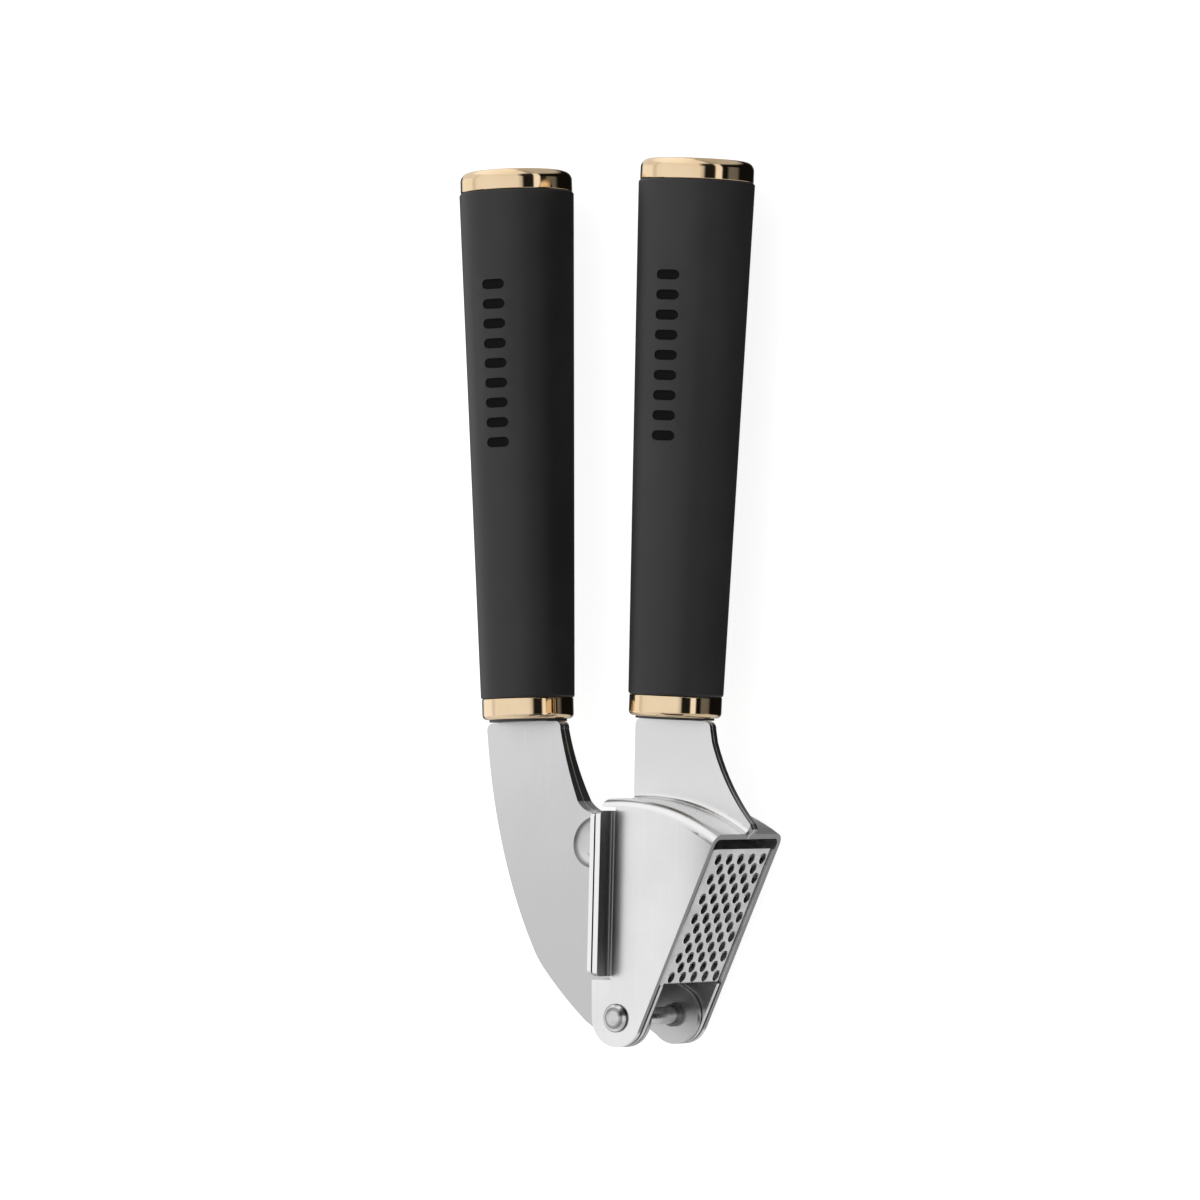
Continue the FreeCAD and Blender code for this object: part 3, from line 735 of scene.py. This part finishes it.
# Painted reflection: dark rings on the pin's domed heads, standing in for the dark reflections round the
# dome.
HEAD_SHADE_RING = ShadeRing(
    PIVOT[:2],
    3.05 * MM,
    (
        (0.0, 1.0), (0.44, 1.0), (0.60, 0.46), (0.72, 0.38),
        (0.80, 1.0), (0.93, 0.95), (0.975, 0.12), (1.0, 0.08),
    ),
    beyond=13.0 * MM,
)
SHELL = BrushedSteel(
    "housing_satin",
    Grain.ALONG_HANDLES,
    light=(0.90, 0.90, 0.90, 1.0),
    dark=(0.83, 0.83, 0.835, 1.0),
    edges=TAB_EDGES + (FRONT_EDGE,),
    painted_shade=TAB_FOLD_SHADE,
    seam_height=MID_HEIGHT,
    # Painted shade: darker towards the shank.
    shade_drift=(-0.052, -0.030, (0.76, 0.76, 0.765, 1.0)),
)
LEVER = BrushedSteel(
    "lever_satin",
    Grain.ALONG_HANDLES,
    light=(0.73, 0.73, 0.73, 1.0),
    dark=(0.665, 0.665, 0.67, 1.0),
    roughness=0.30,
    cloud_density=45.0,
    seam_height=MID_HEIGHT,
    # Painted shade: darker towards the pivot.
    shade_drift=(-0.018, -0.082, (0.61, 0.61, 0.615, 1.0)),
    shade_ring=DIMPLE_SHADE_RING,
)
SIEVE = BrushedSteel(
    "strainer_satin",
    Grain.ALONG_PIN,
    light=(0.88, 0.88, 0.88, 1.0),
    dark=(0.70, 0.70, 0.705, 1.0),
    roughness=0.24,
    line_depth=0.8e-6,
    cloud_density=160.0,
    edges=TAB_EDGES,
    painted_shade=BASKET_INSIDE_SHADE,
)
# The hole lips are real; their steel is painted brighter than the basket's, a painted highlight that
# strengthens their gleams.
LIP_HIGHLIGHT_STEEL = BrushedSteel(
    "hole_lip_highlight",
    Grain.EVEN,
    light=(0.97, 0.97, 0.97, 1.0),
    dark=(0.88, 0.88, 0.885, 1.0),
    roughness=0.17,
)
PRESSER = BrushedSteel(
    "plunger_satin",
    Grain.EVEN,
    light=(0.5, 0.5, 0.5, 1.0),
    dark=(0.4, 0.4, 0.405, 1.0),
    roughness=0.34,
)
PIN_STEEL = PolishedSteel("pivot_polish", roughness=0.19, shade_ring=HEAD_SHADE_RING)
# Painted shade: the bushes' steel is painted dark, standing in for the shade between the lever's plates.
BUSH_SHADE_STEEL = PolishedSteel("bush_painted_shade", (0.30, 0.30, 0.305, 1.0), (0.16, 0.16, 0.165, 1.0), 0.3)
GOLD = ChampagneGold("champagne_gold")
GRIP_BLACK = SoftTouch("grip_soft_touch")
MARK_BLACK = SoftTouch(
    "mark_floor_black",
    black=(0.0012, 0.0012, 0.0013, 1.0),
    rubbed=(0.0025, 0.0025, 0.0026, 1.0),
    roughness=0.6,
    level=0.12,
)
CORE_BLACK = SoftTouch("moulded_core", (0.018, 0.018, 0.018, 1.0), (0.026, 0.026, 0.026, 1.0), 0.38)
FLOOR_PALE = FloorPaper("floor_paper")
BACKDROP_WHITE = PlainCard("backdrop_white", (0.9, 0.9, 0.9, 1.0), 1.0)
CARD_BLACK = PlainCard("card_black")


class Wardrobe:
    """Builds each finish once and puts it on pieces."""

    def __init__(self, frame: dict[str, Any]) -> None:
        """Keep the loaded frame.
        """
        self.nodes: dict[str, bpy.types.Object] = frame["nodes"]
        self.made: dict[str, bpy.types.Material] = {}

    def material(self, finish: Any) -> bpy.types.Material:
        """Return the material of a finish, built at its first use."""
        if finish.name not in self.made:
            self.made[finish.name] = finish.build()
        return self.made[finish.name]

    def dress(self, finish: Any, *names: str) -> None:
        """Give carried-over nodes a finish.

        Args:
            finish: The finish.
            names: The nodes' names.
        """
        for name in names:
            for slot in self.nodes[name].material_slots:
                slot.material = self.material(finish)
            LOG.info("dressed %s in %s", name, finish.name)

    def hang(self, piece: bpy.types.Object, finish: Any, body: Body) -> bpy.types.Object:
        """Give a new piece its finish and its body.

        Args:
            piece: The new piece.
            finish: The finish.
            body: The body that carries it.

        Returns:
            The piece.
        """
        piece.data.materials.append(self.material(finish))
        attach(piece, body.value)
        LOG.info("made %s on %s, %d vertices", piece.name, body.value, len(piece.data.vertices))
        return piece


def as_object(name: str, mesh: bmesh.types.BMesh) -> bpy.types.Object:
    """Turn an edited mesh into an object with smooth shading that keeps its creases.

    Args:
        name: The piece's name.
        mesh: The edited mesh, which is freed.

    Returns:
        The object, linked to the scene.
    """
    bmesh.ops.recalc_face_normals(mesh, faces=mesh.faces)
    for edge in mesh.edges:
        edge.smooth = len(edge.link_faces) == 2 and edge.calc_face_angle(math.pi) < CREASE
    for face in mesh.faces:
        face.smooth = True
    data = bpy.data.meshes.new(name)
    mesh.to_mesh(data)
    mesh.free()
    made = bpy.data.objects.new(name, data)
    bpy.context.scene.collection.objects.link(made)
    return made


def lathe(mesh: bmesh.types.BMesh, profile: Sequence[tuple[float, float]], place: Matrix, steps: int) -> None:
    """Turn a closed profile about a line and add it to a mesh.

    Args:
        mesh: The mesh that it is added to.
        profile: Distance along the line and radius of each corner, in millimetres.
        place: Frame whose Z is the line.
        steps: Number of sections round it.
    """
    rings = []
    for number in range(steps):
        turn = math.tau * number / steps
        ring = [
            mesh.verts.new(place @ Vector((radius * math.cos(turn), radius * math.sin(turn), along)) * MM)
            for along, radius in profile
        ]
        rings.append(ring)
    for number, ring in enumerate(rings):
        following = rings[(number + 1) % steps]
        for corner in range(len(profile)):
            other = (corner + 1) % len(profile)
            mesh.faces.new((ring[corner], ring[other], following[other], following[corner]))


def rounded(corners: Sequence[Triple], steps: int) -> list[tuple[float, float]]:
    """Round the corners of a closed profile.

    Args:
        corners: Two coordinates and a rounding for each corner.
        steps: Pieces in each rounding.

    Returns:
        The rounded profile.
    """
    points: list[tuple[float, float]] = []
    count = len(corners)
    for number, (first, second, radius) in enumerate(corners):
        here = Vector((first, second))
        if radius <= 0:
            points.append((first, second))
            continue
        before = (Vector(corners[number - 1][:2]) - here).normalized() * radius
        after = (Vector(corners[(number + 1) % count][:2]) - here).normalized() * radius
        for step in range(steps + 1):
            share = step / steps
            spot = here + before * (1 - share) ** 2 + after * share**2
            points.append((spot.x, spot.y))
    return points


def frame_at(point: Vector, line: Vector, near: Vector) -> Matrix:
    """Return a frame in millimetres at a point.

    Args:
        point: The frame's origin.
        line: Its Z direction.
        near: A direction close to its X.

    Returns:
        The frame.
    """
    up = line.normalized()
    side = up.cross(near).normalized()
    return Matrix.Translation(point) @ Matrix((side.cross(up), side, up)).transposed().to_4x4()


@dataclass
class Strainer:
    """The perforated basket and the rolled lips of its holes, in millimetres from the pivot."""

    pivot: Vector
    face_offset: float = 6.3
    face_lean: float = math.radians(25.5)
    rows: int = 13
    wide_row: int = 5
    pitch: float = 4.32
    row_pitch: float = 2.333
    first_row: float = 12.55
    hole_radius: float = 1.12
    lip_width: float = 0.30
    lip_rise: float = 0.12
    lip_foot: float = 0.25
    lip_overlap: float = 0.02
    lip_steps: int = 28
    low_radius: float = 12.1
    low_bend: float = 0.8

    def hole_places(self) -> Iterable[tuple[float, float]]:
        """Yield the distance along the face and across it of each hole."""
        for row in range(self.rows):
            count = self.wide_row - row % 2
            for number in range(count):
                yield self.first_row + row * self.row_pitch, (number - (count - 1) / 2) * self.pitch

    def build(self, wardrobe: Wardrobe) -> None:
        """Dress the basket and make the lips of its holes.

        Args:
            wardrobe: Where the finishes come from.
        """
        wardrobe.dress(SIEVE, "strainer_basket")
        outward = Vector((math.cos(self.face_lean), -math.sin(self.face_lean), 0))
        along = Vector((math.sin(self.face_lean), math.cos(self.face_lean), 0))
        mesh = bmesh.new()
        inner = self.hole_radius - self.lip_overlap
        profile = rounded(
            [
                (-self.lip_foot, inner, 0.0),
                (self.lip_rise, inner + 0.05, 0.05),
                (self.lip_rise * 0.8, inner + 0.5 * self.lip_width, 0.06),
                (-self.lip_overlap, self.hole_radius + self.lip_width, 0.0),
            ],
            3,
        )
        for up, across in self.hole_places():
            spot = self.pivot + outward * self.face_offset + along * up + Vector((0, 0, across))
            lathe(mesh, profile, frame_at(spot, outward, along), self.lip_steps)
        turn = math.sqrt((self.low_radius + self.low_bend) ** 2 - (self.face_offset - self.low_bend) ** 2)
        for vert in mesh.verts:
            short = turn - (vert.co / MM - self.pivot).dot(along)
            if short > 0:
                vert.co -= outward * (self.low_bend - math.sqrt(max(0.0, self.low_bend**2 - short**2))) * MM
        wardrobe.hang(as_object("strainer_hole_lips", mesh), LIP_HIGHLIGHT_STEEL, Body.STRAINER)


@dataclass
class Housing:
    """The two pressed shells of the fixed lever with the pin that joins them."""

    def build(self, wardrobe: Wardrobe) -> None:
        """Dress the shells, the pin and its heads.

        Args:
            wardrobe: Where the finishes come from.
        """
        wardrobe.dress(SHELL, "housing_front_shell", "housing_rear_shell")
        wardrobe.dress(PIN_STEEL, "pivot_pin", "pivot_rivet_head")


@dataclass
class PressLever:
    """The two pressed plates of the moving lever with the bushes of their pin holes."""

    def build(self, wardrobe: Wardrobe) -> None:
        """Dress the plates and the bushes.

        Args:
            wardrobe: Where the finishes come from.
        """
        wardrobe.dress(LEVER, "press_lever_front_shell", "press_lever_rear_shell")
        wardrobe.dress(BUSH_SHADE_STEEL, "lever_bush_front", "lever_bush_rear")


@dataclass
class Plunger:
    """The hanging plate and the foot that pushes through the holes."""

    def build(self, wardrobe: Wardrobe) -> None:
        """Dress the plate and the foot.

        Args:
            wardrobe: Where the finishes come from.
        """
        wardrobe.dress(PRESSER, "plunger_hanger", "plunger_foot")


@dataclass
class Handle:
    """One handle: grip, collar, end cap and hidden core, in millimetres along its own line."""

    side: str
    body: Body
    grip_low: float = 10.25
    grip_high: float = 12.55
    grip_length: float = 110.6
    first_mark: float = 57.9
    mark_pitch: float = 4.3
    marks: int = 9
    mark_width: float = 5.3
    mark_height: float = 2.1
    mark_floor: float = 0.46
    collar_half: float = 2.3
    mark_turn: float = math.radians(7.0)
    mark_steps: tuple[int, int] = (12, 6)

    def line(self) -> tuple[Vector, Vector]:
        """Return the middle of the collar and the direction of the handle."""
        collar = sum(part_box(f"{self.side}_collar"), Vector()) / 2
        cap = sum(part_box(f"{self.side}_end_cap"), Vector()) / 2
        return collar / MM, (cap - collar).normalized()

    def build(self, wardrobe: Wardrobe) -> None:
        """Dress the handle and make the floors of its debossed bars.

        Args:
            wardrobe: Where the finishes come from.
        """
        wardrobe.dress(GRIP_BLACK, f"{self.side}_grip")
        wardrobe.hang(self.mark_floors(), MARK_BLACK, self.body)
        wardrobe.dress(GOLD, f"{self.side}_collar", f"{self.side}_end_cap")
        wardrobe.dress(CORE_BLACK, f"{self.side}_core", f"{self.side}_cap_plug")

    def mark_floors(self) -> bpy.types.Object:
        """Return the smooth black floors of the debossed bars, curved like the grip."""
        collar, line = self.line()
        place = frame_at(collar, line, Vector((0, 0, 1)))
        front = 0.0 if (place.to_3x3() @ Vector((1, 0, 0))).z > 0 else math.pi
        right = (place.to_3x3() @ Vector((0, 1, 0))).x
        middle = front + math.copysign(self.mark_turn, right if front == 0.0 else -right)
        mesh = bmesh.new()
        for number in range(self.marks):
            self.add_mark(mesh, place, middle, self.first_mark + number * self.mark_pitch)
        return as_object(f"{self.side}_mark_floors", mesh)

    def add_mark(self, mesh: bmesh.types.BMesh, place: Matrix, middle: float, along: float) -> None:
        """Add one bar's floor to a mesh.

        Args:
            mesh: The mesh that it is added to.
            place: The handle's frame at the middle of its collar.
            middle: The angle of the bar's middle about the handle.
            along: How far along the handle it is.
        """
        around, up = self.mark_steps
        outward = Vector((math.cos(middle), math.sin(middle), 0))
        sideways = Vector((-outward.y, outward.x, 0))
        rows = []
        for step_up in range(up + 1):
            share = 2 * step_up / up - 1
            inset = (self.mark_height / 2) * (1 - math.sqrt(max(0.0, 1 - share * share)))
            half = self.mark_width / 2 - inset
            spot = along + share * self.mark_height / 2
            run = (spot - self.collar_half) / self.grip_length
            depth = self.grip_low + (self.grip_high - self.grip_low) * run - self.mark_floor
            row = []
            for step in range(around + 1):
                across = (2 * step / around - 1) * half
                corner = outward * depth + sideways * across + Vector((0, 0, spot))
                row.append(mesh.verts.new(place @ corner * MM))
            rows.append(row)
        for lower, upper in zip(rows, rows[1:]):
            for step in range(around):
                mesh.faces.new((lower[step], lower[step + 1], upper[step + 1], upper[step]))


# Brightness of the room by degrees about the handles' line, counted from the pin's upper end. One ring
# is for directions square to the handles, and one each for those that lean to the handles' far end,
# point there, or point to the pivot.
ROOM_SQUARE: Stops = (
    (-180, 0.006), (-168, 0.006), (-158, 0.35), (-137, 0.35), (-131, 0.006), (-122, 0.006), (-108, 1.02),
    (-70, 1.02), (-66, 0.74), (-60, 0.74), (-54, 0.92), (38, 0.90), (46, 0.6), (50, 0.012), (70, 0.012),
    (73, 1.02), (84, 1.02), (87, 0.006), (97, 0.006), (103, 0.16), (122, 0.14), (130, 0.006), (180, 0.006),
)
ROOM_LEANING: Stops = (
    (-180, 0.006), (-161, 0.01), (-153, 0.78), (-68, 0.84), (-60, 0.72), (-50, 0.90), (36, 0.88),
    (46, 0.02), (70, 0.012), (73, 0.95), (84, 0.95), (87, 0.006), (180, 0.006),
)
ROOM_FAR: Stops = (
    (-180, 0.5), (-150, 0.5), (-128, 1.15), (0, 1.05), (52, 0.9), (66, 0.32), (90, 0.5), (180, 0.5),
)
ROOM_PIVOT: Stops = ((-180, 0.5), (-60, 0.85), (40, 0.5), (120, 0.66), (180, 0.66))

# Where one ring passes into the next, as the direction's share along the handles.
LEANING_BAND = (0.16, 0.28)
FAR_BAND = (0.52, 0.70)
PIVOT_BAND = (0.18, 0.40)


@dataclass
class Studio:
    """Floor, backdrop, light and camera."""

    pivot: Vector
    azimuth: float = math.radians(34.47)
    tilt: float = math.radians(1.33)
    roll: float = math.radians(-0.11)
    distance: float = 1.5
    aim: tuple[float, float] = (-0.01092, 0.08969)
    lens: float = 208.8
    sensor: float = 36.0
    clip_start: float = 0.05
    floor_half: float = 6.0
    floor_gap: float = 0.0002
    floor_steps: int = 24
    dome_radius: float = 5.6
    dome_sink: float = 0.1
    dome_steps: tuple[int, int] = (48, 12)
    flag_place: Triple = (-3.0, 26.0, -1.0)
    flag_away: float = 42.0
    flag_size: tuple[float, float] = (40.0, 40.0)
    lamp_place: Triple = (-0.25, 0.15, 1.1)
    lamp_size: float = 0.9
    lamp_power: float = 5.0

    def build(self, wardrobe: Wardrobe) -> None:
        """Make the floor, the light and the camera.

        Args:
            wardrobe: Where the finishes come from.
        """
        self.lay_floor(wardrobe)
        self.hang_backdrop(wardrobe)
        self.light_room()
        self.hang_flag(wardrobe)
        self.hang_lamp()
        self.set_camera()

    def lay_floor(self, wardrobe: Wardrobe) -> None:
        """Lay the pale floor under the press.

        Args:
            wardrobe: Where the finishes come from.
        """
        mesh = bmesh.new()
        steps = self.floor_steps
        bmesh.ops.create_grid(mesh, x_segments=steps, y_segments=steps, size=self.floor_half)
        bmesh.ops.translate(mesh, verts=mesh.verts, vec=(0, 0, -self.floor_gap))
        floor = as_object("floor", mesh)
        floor.data.materials.append(wardrobe.material(FLOOR_PALE))
        floor.visible_glossy = False

    def hang_backdrop(self, wardrobe: Wardrobe) -> None:
        """Hang a white dome behind everything that only shows and casts no light.

        Args:
            wardrobe: Where the finishes come from.
        """
        mesh = bmesh.new()
        steps, rows = self.dome_steps
        rings = []
        for row in range(rows + 1):
            rise = math.pi / 2 * row / (rows + 1)
            wide = self.dome_radius * math.cos(rise)
            turns = [math.tau * number / steps for number in range(steps)]
            high = self.dome_radius * math.sin(rise) - self.dome_sink
            spots = [(wide * math.cos(turn), wide * math.sin(turn), high) for turn in turns]
            rings.append([mesh.verts.new(spot) for spot in spots])
        for lower, upper in zip(rings, rings[1:]):
            for number in range(steps):
                following = (number + 1) % steps
                mesh.faces.new((lower[number], lower[following], upper[following], upper[number]))
        mesh.faces.new(rings[-1])
        dome = as_object("backdrop", mesh)
        dome.data.materials.append(wardrobe.material(BACKDROP_WHITE))
        dome.visible_diffuse = False
        dome.visible_glossy = False
        dome.visible_transmission = False
        dome.visible_shadow = False

    def light_room(self) -> None:
        """Light the room softly, by rings of brightness about the handles' line."""
        world = bpy.data.worlds.new("studio")
        bpy.context.scene.world = world
        world.use_nodes = True
        bench = Bench(world.node_tree)
        toward = bench.node("ShaderNodeTexCoord", output="Generated")
        parts = bench.add("ShaderNodeSeparateXYZ", {}, {0: toward})
        across, along, up = (Wire(bench, socket) for socket in parts.outputs)
        turn = bench.node("ShaderNodeMath", {"operation": "ARCTAN2"}, {0: across, 1: up}) / math.tau + 0.5
        glow = self.ring(bench, turn, ROOM_SQUARE)
        glow = bench.tint(bench.window(along, *LEANING_BAND), glow, self.ring(bench, turn, ROOM_LEANING))
        glow = bench.tint(bench.window(along, *FAR_BAND), glow, self.ring(bench, turn, ROOM_FAR))
        glow = bench.tint(bench.window(along * -1.0, *PIVOT_BAND), glow, self.ring(bench, turn, ROOM_PIVOT))
        shader = bench.node("ShaderNodeBackground", {}, {"Color": glow, "Strength": 1.0})
        bench.add("ShaderNodeOutputWorld", {}, {"Surface": shader})

    def ring(self, bench: Bench, turn: Wire, levels: Sequence[tuple[float, float]]) -> Wire:
        """Return brightness by direction round the handles' line.

        Args:
            bench: The world's bench.
            turn: The direction as a share of a full turn, 0.5 at the pin's upper end.
            levels: Degrees and brightness of each stop.

        Returns:
            The brightness as a colour.
        """
        stops = [(degrees / 360 + 0.5, level) for degrees, level in levels]
        return bench.node("ShaderNodeValToRGB", {"stops": stops}, {0: turn})

    def hang_flag(self, wardrobe: Wardrobe) -> None:
        """Hang a small black card beside the basket that shades only what gleams.

        Args:
            wardrobe: Where the finishes come from.
        """
        face = Vector((math.sin(self.azimuth), 0.0, math.cos(self.azimuth)))
        middle = self.pivot + Vector(self.flag_place) + face * self.flag_away
        place = frame_at(middle, face, Vector((0, 1, 0)))
        mesh = bmesh.new()
        tall, wide = self.flag_size
        corners_of_card = ((-1, -1), (1, -1), (1, 1), (-1, 1))
        spots = [Vector((a * tall / 2, b * wide / 2, 0)) for a, b in corners_of_card]
        mesh.faces.new([mesh.verts.new(place @ spot * MM) for spot in spots])
        card = as_object("black_card", mesh)
        card.data.materials.append(wardrobe.material(CARD_BLACK))
        card.visible_camera = False
        card.visible_diffuse = False
        card.visible_transmission = False
        card.visible_shadow = False

    def hang_lamp(self) -> None:
        """Hang a soft square lamp over the press that gleams on nothing."""
        place = Vector(self.lamp_place)
        data = bpy.data.lights.new("ceiling_panel", "AREA")
        data.size = self.lamp_size
        data.energy = self.lamp_power
        lamp = bpy.data.objects.new("ceiling_panel", data)
        lamp.location = place
        lamp.rotation_euler = place.to_track_quat("Z", "Y").to_euler()
        lamp.visible_glossy = False
        bpy.context.scene.collection.objects.link(lamp)

    def set_camera(self) -> None:
        """Stand the camera to the right of the pin's line, level with the pivot, looking at the press."""
        back = Vector(
            (
                math.sin(self.azimuth) * math.cos(self.tilt),
                -math.sin(self.tilt),
                math.cos(self.azimuth) * math.cos(self.tilt),
            )
        )
        right = Vector((0, 1, 0)).cross(back).normalized()
        turned = Matrix.Rotation(self.roll, 3, back)
        right = turned @ right
        up = back.cross(right)
        aim = self.pivot * MM + right * self.aim[0] + up * self.aim[1]
        data = bpy.data.cameras.new("camera")
        data.lens = self.lens
        data.sensor_width = self.sensor
        data.clip_start = self.clip_start
        camera = bpy.data.objects.new("camera", data)
        stand = Matrix.Translation(aim + back * self.distance)
        camera.matrix_world = stand @ Matrix((right, up, back)).transposed().to_4x4()
        bpy.context.scene.collection.objects.link(camera)
        bpy.context.scene.camera = camera


def corners(box: tuple[Vector, Vector]) -> list[float]:
    """Return a box's lowest and highest corner as six plain numbers."""
    return [round(float(value), 6) for corner in box for value in corner]


def main() -> None:
    """Load the model and build every part's looks."""
    logging.basicConfig(level=logging.INFO, format="%(name)s: %(message)s")
    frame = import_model()
    pivot = Vector(frame["joints"][0]["pos_m"]) / MM
    wardrobe = Wardrobe(frame)
    bpy.context.scene.view_settings.view_transform = "Standard"
    for part in (
        Housing(),
        Strainer(pivot),
        PressLever(),
        Plunger(),
        Handle("fixed", Body.HOUSING),
        Handle("press", Body.LEVER),
        Studio(pivot),
    ):
        part.build(wardrobe)
        LOG.info("finished %s", type(part).__name__)


if __name__ == "__main__":
    main()
